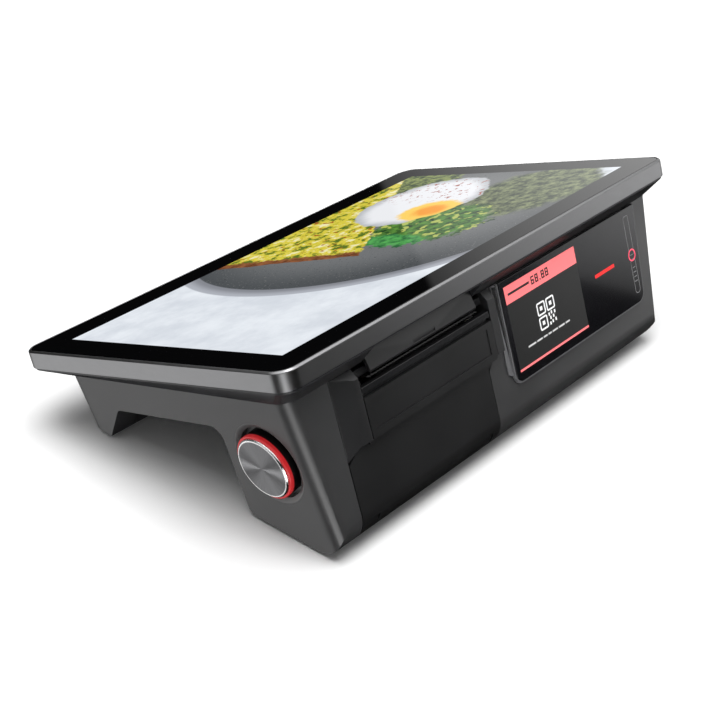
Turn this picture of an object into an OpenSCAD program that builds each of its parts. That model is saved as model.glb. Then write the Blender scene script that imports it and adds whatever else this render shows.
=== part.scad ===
// Counter-top sales terminal: a sloping touch display on a two-legged body, with a receipt printer and a
// small customer display in its tall side. Millimetres. +Z is up, the operator stands at -Y and the customer
// at +Y. The origin is on the table, under the middle of the whole terminal.
//
// Most pieces are drawn in the screen frame: x across, w up the slope from the low edge of the glass, and
// n square to the glass, so that n = 0 is its top and everything else has a negative n.

/* [Display] */
// Width of the display over its metal frame
display_w = 290; // [288:1:292]
// Depth of the display over its frame, measured up the slope
display_d = 183; // [182:0.5:184]
// Height of the metal frame's edge
frame_h = 9; // [8:0.5:10]
// Slope of the screen
tilt = 18; // [17.5:0.5:18.5]

/* [Body] */
// Half the width of the body where it meets the table
foot_half_w = 127.5; // [127:0.5:128]
// Lean of the side faces, outwards and up
side_lean = 8; // [7.5:0.5:8.5]
// Thickness of the moulded walls
wall = 2.4; // [2:0.2:2.6]
// Where the side cheek meets the main housing
seam_x = 114; // [113.9:0.1:114.5]
// Height of the rubber feet
base_z = 1.8; // [1.6:0.1:2.2]

/* [Power button] */
// Radius of the round dish in the cheek
dish_r = 20.1; // [19.8:0.1:20.1]
// Radius of the button cap
cap_r = 14.6; // [14.4:0.1:14.6]
// How far the cap can be pressed in
button_travel = 1.5; // [1:0.1:1.5]

/* [Printer] */
// Width of the paper
paper_w = 57.5; // [56:0.5:58]
// Radius of the paper roll
roll_r = 19.5; // [18:0.5:19.5]
// Radius of the rubber platen
platen_r = 4.8; // [4.6:0.1:4.8]

/* [Customer display] */
// Width of the customer glass along its top
cust_w = 117.5; // [116:0.5:118]
// Height of the customer glass, down the face
cust_h = 50.6; // [50:0.2:51]

/* [Hidden] */
$fn = 64;

// Body levels, in the screen frame: its top, the arch between the legs, the front and the customer face
top_n = -17.5;
arch_n = -34;
front_w = 12.4;
face_w = 172.4;
// Rounded corners: under the customer face, at the top of the arch, and the upright corners
bottom_r = 13.5;
arch_r = 7;
corner_r = 7.4;
front_corner_r = 8;

// Place of the screen frame. The whole terminal is centred between the glass and the bulge under the printer.
low_z = 41.4;
heel_w = face_w - bottom_r;
heel_z = base_z + bottom_r;
heel_n = (heel_z - low_z - heel_w * sin(tilt)) / cos(tilt);
heel_off = heel_w * cos(tilt) - heel_n * sin(tilt);
low_y = -(heel_off + bottom_r) / 2;
heel_y = low_y + heel_off;

// Hinge line of the paper door, just inside the rounded heel
hinge_y = heel_y + (bottom_r - 3) * cos(38);
hinge_z = heel_z - (bottom_r - 3) * sin(38);
pin_r = 0.95;
hinge_x = [21, 103];

// Printer mechanism, in the screen frame
platen_w = 167.2;
platen_n = -31.8;
shaft_r = 2;
tooth = 0.5;
idler_w = platen_w - 11.65;
pinion_w = idler_w - 9.15;
roll_w = 147;
roll_n = -58;
roll_x = 54;
bin_gap = 0.3;
lever_w = 158.5;
lever_n = -15.9;
face_in = face_w - wall;

// Boards, in the screen frame
board_n = -25.6;
board_t = 1.6;
port_n = -60.6;
port_w = 118.9;

// A point of the screen frame, as [y, z] over the table
function sl(w, n) = [low_y + w * cos(tilt) - n * sin(tilt), low_z + w * sin(tilt) + n * cos(tilt)];
// Points of an arc about c, from angle a0 to a1
function arc(c, r, a0, a1, steps = 8) =
    [for (i = [0:steps]) let(a = a0 + (a1 - a0) * i / steps) [c[0] + r * cos(a), c[1] + r * sin(a)]];

module slope() { translate([0, low_y, low_z]) rotate([tilt, 0, 0]) children(); }
// Sweeps an outline drawn as [y, z], or as [w, n] inside slope(), from x0 to x1
module along_x(x0, x1) { translate([x0, 0, 0]) rotate([90, 0, 90]) linear_extrude(x1 - x0) children(); }
// Sweeps an outline drawn as [x, n] up the slope, from w0 to w1
module on_face(w0, w1) { translate([0, w1, 0]) rotate([90, 0, 0]) linear_extrude(w1 - w0) children(); }
module block(x0, x1, w0, w1, n0, n1) { translate([x0, w0, n0]) cube([x1 - x0, w1 - w0, n1 - n0]); }
module rod_x(x0, x1, w, n, r) { translate([x0, w, n]) rotate([0, 90, 0]) cylinder(h = x1 - x0, r = r); }
module rod_w(x, w0, w1, n, r) { translate([x, w1, n]) rotate([90, 0, 0]) cylinder(h = w1 - w0, r = r); }
module tube_x(x0, x1, w, n, r, bore) {
    difference() { rod_x(x0, x1, w, n, r); rod_x(x0 - 1, x1 + 1, w, n, bore); }
}
module rounded(x0, x1, w0, w1, r) {
    translate([x0 + r, w0]) square([x1 - x0 - 2 * r, w1 - w0]);
    translate([x0, w0 + r]) square([x1 - x0, w1 - w0 - 2 * r]);
    for (x = [x0 + r, x1 - r], w = [w0 + r, w1 - r]) translate([x, w]) circle(r);
}
module plate(x0, x1, w0, w1, n0, n1, r) {
    translate([0, 0, n0]) linear_extrude(n1 - n0) rounded(x0, x1, w0, w1, r);
}
// A plate whose top edge is chamfered by c
module chamfered(x0, x1, w0, w1, n0, n1, r, c) {
    plate(x0, x1, w0, w1, n0, n1 - c, r);
    for (x = [x0 + r, x1 - r], w = [w0 + r, w1 - r]) translate([x, w, n1 - c])
        cylinder(h = c, r1 = r, r2 = r - c);
    along_x(x0 + r, x1 - r) polygon([[w0, n1 - c], [w1, n1 - c], [w1 - c, n1], [w0 + c, n1]]);
    on_face(w0 + r, w1 - r) polygon([[x0, n1 - c], [x1, n1 - c], [x1 - c, n1], [x0 + c, n1]]);
}
// A coil spring standing on z = 0, as a grooved sleeve
module coil(r, h, turns, wire) {
    pitch = h / turns;
    rotate_extrude() polygon(concat(
        [[r - wire, 0], [r, 0]],
        [for (i = [0:turns - 1]) each [[r, (i + 0.3) * pitch], [r - wire * 0.6, (i + 0.5) * pitch],
            [r, (i + 0.7) * pitch]]],
        [[r, h], [r - wire, h]]));
}
// A gear drawn about the origin; turn is the angle of its first tooth
module gear(teeth, turn, bore) {
    root = tooth * teeth / 2 - 0.62;
    difference() {
        union() {
            circle(root);
            for (i = [0:teeth - 1]) rotate(turn + 360 * i / teeth)
                polygon([[root - 0.3, -0.4], [root + 0.62, -0.25], [root + 1.02, -0.14],
                    [root + 1.02, 0.14], [root + 0.62, 0.25], [root - 0.3, 0.4]]);
        }
        circle(bore);
    }
}

// ---- Body: one outline swept across, and cut by the two leaning sides ----

// Side outline of the body, all of it t further in. top is the n at which it ends.
leg_y = 40;
foot_inner_y = -53.7;
foot_front_y = -71;
function outline(t, top) = concat(
    [sl(front_w + t, top), sl(face_w - t, top)],
    arc([heel_y, heel_z], bottom_r - t, tilt, -90, 14),
    [[leg_y + 2.5 + t * 0.6, base_z + t], [leg_y + t, base_z + 2.5 + t * 0.6]],
    [for (a = [0:15:90]) sl(119.4 - arch_r + (arch_r + t) * cos(a), arch_n - arch_r + (arch_r + t) * sin(a))],
    [for (a = [90:12.5:140]) sl(45 + (5 + t) * cos(a), arch_n - 5 + (5 + t) * sin(a))],
    [[foot_inner_y - 0.68 * t, base_z + t], [foot_front_y + 2.6 + t * 0.5, base_z + t],
        [foot_front_y + t, base_z + 2.6 + t * 0.5]]);

// Lean of the sides as it shows in the screen frame
lean = atan(cos(tilt) * tan(side_lean));
side_at_top = cos(lean) * (foot_half_w + (low_z + top_n * cos(tilt)) * tan(side_lean));
side_growth = cos(lean) * sin(tilt) * tan(side_lean);
side_long = sqrt(1 + side_growth * side_growth);
// Distance of the side from the middle, in the leaning frame
function side_x(w, t) = side_at_top + side_growth * w - t * side_long;

// Everything inside the leaning +X side and the two rounded upright corners, t further in. The corners
// overshoot the front and the customer face a little, so that they cross them at an angle.
corner_over = 0.1;
module side_limit(t) {
    turn = atan(side_growth);
    wf = front_w + front_corner_r - corner_over;
    wc = face_w - corner_r + corner_over;
    xf = side_x(wf, 0) - front_corner_r * side_long;
    xc = side_x(wc, 0) - corner_r * side_long;
    slope() translate([0, 0, top_n]) rotate([0, lean, 0]) translate([0, 0, -100]) linear_extrude(120)
        polygon(concat([[-170, front_w - 8], [xf, front_w - 8]],
            arc([xf, wf], front_corner_r - t, -90, -turn, 8),
            arc([xc, wc], corner_r - t, -turn, 90, 10),
            [[xc, face_w + 30], [-170, face_w + 30]]));
}
// Cuts the long edge under the customer display's end to a radius of end_r
end_r = 24;
module end_round(t) {
    zc = base_z + end_r - corner_over;
    xc = (end_r - corner_over) / cos(side_lean) - foot_half_w - zc * tan(side_lean);
    translate([0, 200, 0]) rotate([90, 0, 0]) linear_extrude(400) polygon(concat(
        arc([xc, zc], end_r - t, 180 + side_lean, 270, 10),
        [[xc, -60], [-220, -60], [-220, zc - (end_r - t) * sin(side_lean)]]));
}
module body_solid(t, top) {
    difference() {
        intersection() {
            along_x(-160, 160) polygon(outline(t, top));
            side_limit(t);
            mirror([1, 0, 0]) side_limit(t);
        }
        end_round(t);
    }
}
module body_shell() {
    difference() {
        body_solid(0, top_n);
        body_solid(wall, top_n + 10);
    }
}

// Openings and screw places under the tall leg, over the table
hatch_y = [48, 74];
hatch_x = [-92, 106];
hatch_rim = 3;
hatch_t = 1.6;
screw_at = [[-87, 53], [-87, 69], [101, 53], [101, 69]];
module hatch(grow, z0, z1) {
    translate([0, 0, z0]) linear_extrude(z1 - z0)
        rounded(hatch_x[0] - grow, hatch_x[1] + grow, hatch_y[0] - grow, hatch_y[1] + grow, 3 + grow);
}
// The printer's mouth in the customer wall, as [x, n], grown by g; the door fills its lower part
module mouth(g) {
    polygon([[4.2 - g, -8], [seam_x + 2, -8], [seam_x + 2, -120], [14.7 - g, -120], [14.7 - g, -55 - g],
        [9.6 - g, -48.6 - g], [4.2 - g, -48.6 - g]]);
}
// Everything of the heel above the hinge gap, as [y, z]; a is the angle at which the wall is parted
module above_gap(a) {
    polygon(concat([[heel_y, heel_z], [heel_y + 40, heel_z - 40 * tan(a)], [heel_y + 60, heel_z],
        [heel_y + 60, 120], [heel_y - 60, 120], [heel_y - 60, heel_z]]));
}
// Sockets at the port board: middle, width and height of each opening
sockets = [[-105, 9, 11], [-94, 7, 7.5], [-81, 13.1, 5.7], [-65, 13.1, 5.7], [-49, 13.1, 5.7],
    [-30, 15.9, 13.4], [-13.5, 12, 12]];
floor_n = port_n + board_t;
module socket_body(i, depth) {
    s = sockets[i];
    block(s[0] - s[1] / 2, s[0] + s[1] / 2, port_w, port_w + depth, floor_n, floor_n + s[2]);
}

// ---- Display ----

module touch_glass() {
    edge = display_w / 2 - 1.5;
    color("#101114") slope() plate(-edge, edge, 1.5, display_d - 1.5, -2, -0.05, 7.5);
}
module display_frame() {
    color("#8d9094") slope() difference() {
        chamfered(-display_w / 2, display_w / 2, 0, display_d, -frame_h, 0, 9, 0.8);
        plate(-display_w / 2 + 1.4, display_w / 2 - 1.4, 1.4, display_d - 1.4, -2, 1, 7.6);
        plate(-display_w / 2 + 6, display_w / 2 - 6, 6, display_d - 6, -frame_h - 1, 1, 4);
    }
}
module display_panel() {
    color("#2b2d30") slope() plate(-134, 134, 13, 170, -5.5, -2, 1);
}
module display_plate() {
    color("#b9bcc0") slope() difference() {
        plate(-138.8, 138.8, 6.2, 176.8, -6.7, -5.5, 3.8);
        for (x = [-110, -60, 60, 110], w = [30, 150]) translate([x, w, -8]) cylinder(h = 4, r = 5);
    }
}
// Outline of the back cover at level n; inset runs from 0 under the frame to 1 at the body
module cover_slab(inset, n) {
    low_x = display_w / 2 - 1 - inset * 12.7;
    high_x = display_w / 2 - 1 - inset * 5.6;
    w0 = 1 + inset * 11;
    w1 = display_d - 1 - inset * 9.4;
    for (s = [-1, 1]) {
        translate([s * (low_x - 8), w0 + 8, n]) cylinder(h = 0.01, r = 8, $fn = 32);
        translate([s * (high_x - 8), w1 - 8, n]) cylinder(h = 0.01, r = 8, $fn = 32);
    }
}
// Height of the cover's upright edge, above its slanting sides
cover_edge = 1.2;
module back_cover() {
    color("#2c2d30") slope() difference() {
        hull() {
            cover_slab(0, -frame_h - 0.01);
            cover_slab(0, -frame_h - cover_edge);
            cover_slab(1, top_n);
        }
        difference() {
            plate(-139, 139, 6, 177, -12, 0, 4);
            block(11, 97.5, 146.5, 190, -20, 0);
        }
        difference() {
            plate(-130, 130, 15, 168, -15.5, -11, 5);
            block(11, 97.5, 146.5, 190, -20, 0);
            for (x = [-120, 120], w = [30, 146]) translate([x, w, -20]) cylinder(h = 20, r = 3.5);
        }
        block(17, 92.5, 155.5, 190, -20, -10.2);
        block(12.8, 95.6, 148.8, 166, -20, -12.2);
        plate(-60, 0, 88, 112, -20, 0, 3);
    }
    color("#2c2d30") slope() for (x = [-120, 120], w = [30, 146])
        translate([x, w, -15.6]) cylinder(h = 15.6 - 6.7, r = 3.5);
}
module nfc_coil() {
    color("#b5703a") slope() difference() {
        plate(60, 112, 62, 112, -7.2, -6.7, 6);
        plate(66, 106, 68, 106, -8, -6, 3);
    }
}

// ---- Body ----

module main_housing() {
    color("#3c3e41") difference() {
        union() {
            intersection() {
                body_shell();
                translate([-200, -200, -10]) cube([200 + seam_x, 400, 200]);
            }
            // Stand-offs of the main board, ribs under the port board, screw bosses of the hatch
            slope() for (x = [-104, 54], w = [46, 100]) translate([x, w, arch_n + 1])
                cylinder(h = board_n - arch_n - 1, r = 2.6);
            slope() for (x = [-112, -8]) block(x, x + 3, 119.5, 144, port_n - 4, port_n);
            for (p = screw_at) translate([p[0], p[1], base_z + hatch_t]) cylinder(h = 8, r = 3.6);
        }
        hatch(0.2, -1, base_z + hatch_t);
        difference() {
            hatch(-hatch_rim, -1, base_z + 4);
            for (p = screw_at) translate([p[0], p[1], -5]) cylinder(h = 20, r = 3.6);
        }
        for (p = screw_at) translate([p[0], p[1], -1]) cylinder(h = 9.6, r = 1.2);
        // The printer's mouth, down to the hinge gap
        intersection() {
            slope() on_face(160, 200) mouth(0.2);
            along_x(0, 130) above_gap(58);
        }
        along_x(14.4, seam_x + 1) translate([hinge_y, hinge_z]) circle(4.7);
        // Window of the customer panel
        slope() block(-68.3, -4.2, 165, 178, -66.4, -19.6);
        slope() for (s = sockets) block(s[0] - s[1] / 2 - 0.2, s[0] + s[1] / 2 + 0.2, 112, 124,
            floor_n - 0.2, floor_n + s[2] + 0.2);
    }
}
tab_gap = 0.05;
module side_cheek() {
    color("#3c3e41") difference() {
        union() {
            intersection() {
                body_shell();
                translate([seam_x + 0.2, -200, -10]) cube([60, 400, 200]);
            }
            // Tabs that slip inside the main housing, at the top of the arch and on the floor of the leg
            slope() for (w = [52, 92]) {
                block(seam_x + 0.8, seam_x + 8, w, w + 10, arch_n + 1, arch_n + wall + 1.6);
                block(seam_x - 4, seam_x + 2, w + 1, w + 9, arch_n + wall + tab_gap, arch_n + wall + 1.4);
            }
            for (y = [46, 66]) {
                translate([seam_x + 0.8, y, base_z + 1]) cube([6, 8, wall + 0.6]);
                translate([seam_x - 4, y + 1, base_z + wall + tab_gap]) cube([6, 6, 1.3]);
            }
        }
        at_button() translate([0, 0, -10]) cylinder(h = 20, r = dish_r + 0.05);
    }
}
module bottom_cover() {
    color("#232426") difference() {
        hatch(0, base_z, base_z + hatch_t);
        for (p = screw_at) {
            translate([p[0], p[1], -1]) cylinder(h = 10, r = 1.3);
            translate([p[0], p[1], -1]) cylinder(h = 1.8 + base_z, r = 2.4);
        }
        for (a = [0:60:300]) translate([-60 + 5 * cos(a), 61 + 5 * sin(a), -1])
            cylinder(h = 10, r = 1.2, $fn = 24);
        translate([-60, 61, -1]) cylinder(h = 10, r = 1.2, $fn = 24);
    }
}
module rubber_feet() {
    color("#151515") for (p = [[-100, -61.5], [100, -61.5], [-101, 61], [121, 61], [-30, 61], [40, 61]])
        translate([p[0], p[1], 0]) {
            cylinder(h = 0.6, r1 = 4.4, r2 = 5);
            translate([0, 0, 0.6]) cylinder(h = base_z - 0.6, r = 5);
        }
}
module case_screws() {
    color("#9a9ca0") for (p = screw_at) difference() {
        union() {
            translate([p[0], p[1], base_z]) cylinder(h = 0.8, r = 2.2);
            translate([p[0], p[1], base_z]) cylinder(h = 6.6, r = 1.2);
        }
        translate([p[0] - 1.8, p[1] - 0.3, base_z - 1]) cube([3.6, 0.6, 1.4]);
    }
}

// ---- Power button, drawn about its own axis with +z outwards ----

button_y = 58.3;
button_z = 39.5;
board_z = -13.6;
// Thickness of the light ring, and where the dish's sloping lip falls into its groove
ring_t = 1.1;
lip_r = 17.6;
module at_button() {
    translate([foot_half_w + button_z * tan(side_lean), button_y, button_z])
        rotate([0, 90 + side_lean, 0]) children();
}
module button_dish() {
    color("#1b1b1d") {
        at_button() difference() {
            union() {
                translate([0, 0, -6]) cylinder(h = 6, r = dish_r);
                translate([0, 0, board_z + board_t]) cylinder(h = 8, r = dish_r);
            }
            translate([0, 0, -4.4]) cylinder(h = 3.4, r = lip_r);
            translate([0, 0, -1]) cylinder(h = 1.01, r1 = lip_r, r2 = dish_r - 0.4);
            translate([0, 0, -20]) cylinder(h = 30, r = cap_r + ring_t + 0.05);
            translate([0, 0, -20]) cylinder(h = 14, r = dish_r - 1.8);
        }
        intersection() {
            at_button() difference() {
                translate([0, 0, -4.4]) cylinder(h = 2, r = dish_r + 0.9);
                translate([0, 0, -5]) cylinder(h = 4, r = dish_r - 0.2);
            }
            body_solid(wall, top_n);
        }
    }
}
module light_ring() {
    color("#e0202c") at_button() difference() {
        union() {
            translate([0, 0, -7.5]) cylinder(h = 1.5, r = cap_r + 3.6);
            translate([0, 0, -7]) cylinder(h = 9.8, r = cap_r + ring_t);
            translate([0, 0, 2.8]) cylinder(h = 0.35, r1 = cap_r + ring_t, r2 = cap_r + ring_t - 0.35);
        }
        translate([0, 0, -20]) cylinder(h = 30, r = cap_r + 0.1);
    }
}
module button_cap() {
    color("#77797c") at_button() {
        difference() {
            union() {
                translate([0, 0, -6]) cylinder(h = 9.6, r = cap_r);
                translate([0, 0, 3.6]) cylinder(h = 0.6, r1 = cap_r, r2 = cap_r - 0.6);
            }
            translate([0, 0, -7]) cylinder(h = 9.7, r = cap_r - 1.4);
        }
        translate([0, 0, -8]) cylinder(h = 10.9, r = 2);
    }
}
module button_spring() {
    color("#c0c2c5") at_button() translate([0, 0, board_z + board_t]) coil(9, 13.1, 8, 0.8);
}
module push_switch() {
    color("#dddddd") at_button() {
        translate([-3, -3, board_z + board_t]) cube([6, 6, 1.8]);
        translate([0, 0, board_z + board_t]) cylinder(h = 2.4, r = 1.6);
    }
}
module button_board() {
    color("#1f5b3a") at_button() translate([0, 0, board_z]) cylinder(h = board_t, r = dish_r);
}

// ---- Customer display ----

// Outline of the customer glass, as [x, n], grown by e and by er on the printer side
module pod(e, er) {
    x1 = -2 + er;
    x0 = -2 - cust_w;
    n1 = top_n - 0.2;
    n0 = n1 - cust_h;
    r = 4.5 + e;
    slant = 3.8;
    polygon(concat([[x1, n1], [x0 - e, n1]],
        arc([x0 + slant + 5.5, n0 + 5.5], 5.5 + e, 184, 270, 8),
        arc([x1 - er + e - r, n0 - e + r], r, 270, 360, 8),
        er > e ? [[x1, n0 + 6]] : []));
}
module customer_rim() {
    color("#6c6e71") slope() difference() {
        union() {
            on_face(face_w, 173.2) pod(1.3, 4.4);
            on_face(173.2, 174) pod(0.9, 1);
        }
        on_face(173, 176) pod(0.1, 0.1);
        block(-68.3, -4.2, 165, 176, -66.4, -19.6);
    }
}
module customer_glass() {
    color("#0c0d10") slope() on_face(173, 174.4) pod(0, 0);
}
module customer_panel() {
    color("#33353a") slope() block(-67.5, -5, 169.4, 173, -66, -20);
}

// ---- Receipt printer ----

mouth_top = -20;
module printer_surround() {
    front = face_w + 3.4;
    color("#2b2c2f") slope() {
        difference() {
            union() {
                // Pillar beside the cheek, pillar beside the customer display, sill that carries the cutter
                translate([0, 0, -56]) linear_extrude(56 + top_n - 0.1) polygon([[99.7, 163.5], [99.7, front],
                    [102, front], [103.8, front - 0.4], [105.2, front - 1.1], [seam_x - 0.2, face_w],
                    [seam_x - 0.2, face_in - 2], [107, face_in - 2], [103, 170], [103, 163.5]]);
                block(4.2, 9.6, 163.5, front, -48.6, top_n - 0.1);
                block(9, 100, 163.5, 171.5, -23.4, mouth_top);
            }
            // The pillar ends where the door begins, and both tops are cut back under the display
            on_face(150, 190) polygon([[90, -80], [90, -50.4], [106, -50.4], [seam_x + 2, -56.2],
                [seam_x + 2, -80]]);
            along_x(0, 130) polygon([[face_w, top_n], [190, top_n - 21.6], [190, 0], [face_w, 0]]);
        }
        // Flanges that bear on the inside of the housing and of the cheek
        block(-1.5, 5, face_in - 2, face_in, -45, -22);
        block(107, 119, face_in - 2, face_in, -46, -22);
    }
}
module release_lever() {
    color("#303134") slope() difference() {
        union() {
            along_x(17.6, 91.6) polygon([[156.2, -12.8], [172.5, -12.8], [173.4, -13.6], [175.6, -21.6],
                [175.3, -22.5], [173.8, -22.5], [173.2, -19.5], [171.4, -14.6], [156.2, -14.6]]);
            for (x = [18, 89]) difference() {
                rod_x(x, x + 2, lever_w, lever_n, 2.6);
                block(x - 1, x + 3, 150, 165, -12.8, -10);
            }
        }
        rod_x(10, 100, lever_w, lever_n, 1.25);
        for (x = [20.4, 82.4]) rod_x(x, x + 6.2, lever_w, lever_n, 2.4);
        // Shallow finger mark
        block(47, 62, 174.9, 177, -21, -17);
    }
}
module lever_pin() {
    color("#c0c2c5") slope() rod_x(13.4, 94.9, lever_w, lever_n, 1.2);
}
module lever_springs() {
    color("#c0c2c5") slope() for (x = [21, 83]) translate([x, lever_w, lever_n]) rotate([0, 90, 0])
        difference() { coil(2.1, 5, 6, 0.8); translate([0, 0, -1]) cylinder(h = 9, r = 1.2); }
}
module tear_bar() {
    teeth = 37;
    tip = 175.8;
    color("#b4b6b8") slope() translate([0, 0, -24]) linear_extrude(0.6) polygon(concat(
        [[17.5, 163.6]],
        [for (i = [0:teeth]) each [[17.5 + 2 * i, tip - 1.3], [18.5 + 2 * i, tip]]],
        [[93.5, tip - 1.3], [93.5, 170], [92.5, 170], [92.5, 163.6]]));
}
module chassis_side(x0, x1, motor) {
    difference() {
        along_x(x0, x1) polygon(concat(
            [[151, -46], [169, -46], [169, -26], [163.5, -26], [163.5, -19], [161.8, -13], [155.2, -13],
                [150, -18.6]],
            motor ? [[150, -23], [138.5, -23], [138.5, -40], [151, -40]] : [[150, -40]]));
        rod_x(x0 - 1, x1 + 1, lever_w, lever_n, 1.25);
        rod_x(x0 - 1, x1 + 1, platen_w, platen_n, 3.1);
        block(x0 - 1, x1 + 1, platen_w, 175, platen_n - 3.1, platen_n + 3.1);
        rod_x(x0 - 1, x1 + 1, pinion_w, platen_n, 1.4);
    }
}
module printer_chassis() {
    color("#a4a7aa") slope() {
        chassis_side(14, 15.5, false);
        chassis_side(92.8, 94.3, true);
        block(15, 84.4, 150, 151.4, -35, -18.6);
        block(84, 93, 151.4, 152.8, -24, -18.6);
        block(15, 93, 150, 163.5, -20, -18.6);
    }
}
module print_head() {
    color("#5b3a30") slope() {
        block(26, 82, 160.6, 162.1, -39, -25);
        block(25, 83, 159.2, 160.6, -40, -23.5);
    }
}
module head_springs() {
    color("#c0c2c5") slope() for (x = [36, 54, 72]) translate([x, 151.4, -31]) rotate([-90, 0, 0])
        coil(2.2, 7.8, 6, 0.7);
}
module platen_roller() {
    color("#202022") slope() tube_x(roll_x - 29, roll_x + 29, platen_w, platen_n, platen_r, shaft_r);
}
module platen_shaft() {
    color("#c0c2c5") slope() rod_x(13, 99.2, platen_w, platen_n, shaft_r);
}
module platen_bushes() {
    color("#d9d4c6") slope() for (x = [[13.4, 16.4], [91.8, 94.9]])
        tube_x(x[0], x[1], platen_w, platen_n, 3, shaft_r + 0.05);
}
gear_x = [95.6, 98.6];
module platen_gear() {
    color("#e6e2d6") slope() along_x(gear_x[0], gear_x[1])
        translate([platen_w, platen_n]) gear(20, 9, shaft_r);
}
module idler_gear() {
    color("#e6e2d6") slope() along_x(gear_x[0], gear_x[1]) translate([idler_w, platen_n]) gear(26, 0, 1.55);
}
module idler_post() {
    color("#c0c2c5") slope() {
        rod_x(94.3, 99.2, idler_w, platen_n, 1.5);
        rod_x(94.3, 95.3, idler_w, platen_n, 2.4);
    }
}
module stepping_motor() {
    color("#8a8d90") slope() {
        rod_x(85.8, 92.8, pinion_w, platen_n, 6.6);
        rod_x(92.8, 99.4, pinion_w, platen_n, 1);
    }
}
module motor_pinion() {
    color("#c9a54a") slope() along_x(gear_x[0], gear_x[1]) translate([pinion_w, platen_n]) gear(10, 18, 1.05);
}
module paper_bin() {
    inner = roll_r + bin_gap;
    color("#2f3033") {
        slope() {
            intersection() {
                difference() {
                    rod_x(22.5, 85.5, roll_w, roll_n, inner + 1.5);
                    rod_x(24.2, 83.8, roll_w, roll_n, inner);
                    rod_x(20, 90, roll_w, roll_n, 9);
                }
                block(20, 90, 120, 158, -90, roll_n + 4);
            }
            intersection() {
                tube_x(22.5, 85.5, roll_w, roll_n, inner + 1.5, inner);
                block(20, 90, 120, 146, roll_n, -30);
            }
        }
        // Lugs against the front wall of the leg
        intersection() {
            slope() for (x = [28, 76]) block(x, x + 4, 112, 127, -66, -50);
            body_solid(wall, top_n);
        }
    }
}
module paper_roll() {
    color("#efefec") slope() tube_x(roll_x - paper_w / 2, roll_x + paper_w / 2, roll_w, roll_n, roll_r, 6.5);
}
module paper_core() {
    color("#b08d62") slope() tube_x(roll_x - 29.2, roll_x + 29.2, roll_w, roll_n, 6.5, 5.4);
}
module paper_door() {
    right = seam_x - 0.4;
    front = face_w + 3.4;
    color("#26272a") difference() {
        union() {
            // Curved skin of the belly
            intersection() {
                body_shell();
                slope() on_face(130, 200) polygon([[14.9, -120], [right, -120], [right, -56.4], [106, -50.8],
                    [12, -50.8], [14.9, -54.6]]);
                along_x(0, 130) above_gap(55.5);
            }
            // Raised panel above it, with the two arms of the platen
            slope() difference() {
                union() {
                    block(9.9, 99.3, face_w, front, -50, -31.3);
                    block(12.2, 99.3, face_in, face_w + 1, -52.5, -46);
                    for (x = [20, 86]) difference() {
                        union() {
                            rod_x(x, x + 2, platen_w, platen_n, 3.9);
                            block(x, x + 2, platen_w, face_w + 1, -44, -31.4);
                            block(x, x + 2, platen_w, face_w, platen_n, platen_n + 3.9);
                        }
                        rod_x(x - 1, x + 3, platen_w, platen_n, shaft_r + 0.05);
                    }
                }
                // Cut corner beside the customer display, and a little shallow frame line on the panel
                on_face(160, 190) polygon([[0, -46], [9.9, -48.2], [14.9, -54.6], [0, -60]]);
                block(95, 101, 160, 173.4, -39, -25);
                block(14, 95.5, front - 0.4, front + 1, -46.5, -34.2);
            }
            // Ears of the hinge
            for (x = hinge_x) along_x(x - 3.2, x + 3.2) translate([hinge_y, hinge_z]) circle(2.9);
        }
        along_x(0, 130) translate([hinge_y, hinge_z]) circle(pin_r);
        // Slits for the fixed hinge tabs
        for (x = hinge_x) translate([x - 0.8, hinge_y - 8, -1]) cube([1.6, 20, 15.5]);
    }
}
module platen_cover() {
    front = face_w + 3.2;
    color("#303134") slope() difference() {
        union() {
            block(10.2, 99.2, face_w, front, -29.5, -26.5);
            block(10.2, 99.2, face_w, front - 1.5, -31.3, -29);
        }
        block(95, 101, 160, 173.4, -39, -27.5);
    }
}
module hinge_brackets() {
    color("#9fa2a5") for (x = hinge_x) difference() {
        union() {
            along_x(x - 0.5, x + 0.5) {
                translate([hinge_y, hinge_z]) circle(2.4);
                polygon([[hinge_y - 13.5, base_z + wall], [heel_y, base_z + wall],
                    [heel_y + 2, base_z + wall + 0.8], [hinge_y - 1, hinge_z - 2.1],
                    [hinge_y - 1.4, hinge_z + 1.9], [heel_y - 1, base_z + wall + 4],
                    [hinge_y - 13.5, base_z + wall + 3]]);
            }
            translate([x - 4, heel_y - 6, base_z + wall]) cube([8, 6, 1]);
        }
        along_x(x - 2, x + 2) translate([hinge_y, hinge_z]) circle(pin_r + 0.05);
    }
}
module hinge_pins() {
    color("#c0c2c5") for (x = hinge_x) along_x(x - 3.2, x + 3.2) translate([hinge_y, hinge_z]) circle(pin_r);
}

// ---- Electronics ----

module main_board() {
    color("#1f5b3a") slope() difference() {
        plate(-110, 60, 38, 106, board_n, board_n + board_t, 2);
        for (x = [-104, 54], w = [46, 100]) translate([x, w, board_n - 1]) cylinder(h = 4, r = 1.3, $fn = 24);
    }
}
module heat_sink() {
    color("#9a9da0") slope() {
        block(-60, -20, 48, 86, board_n + board_t, -22.4);
        for (i = [0:7]) block(-60 + i * 5.5, -58.5 + i * 5.5, 48, 86, -22.5, -18.5);
    }
}
module radio_module() {
    color("#b5b8bb") slope() block(10, 35, 44, 64, board_n + board_t, -21.8);
}
module port_board() {
    color("#1f5b3a") slope() plate(-112, -5, 121.6, 146, port_n, floor_n, 1);
}
module power_inlet() {
    s = sockets[0];
    mid = floor_n + s[2] / 2;
    color("#18181a") slope() {
        difference() {
            socket_body(0, 13);
            rod_w(s[0], port_w - 1, port_w + 9, mid, 2.75);
        }
        rod_w(s[0], port_w + 1, port_w + 10, mid, 1);
    }
}
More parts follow.
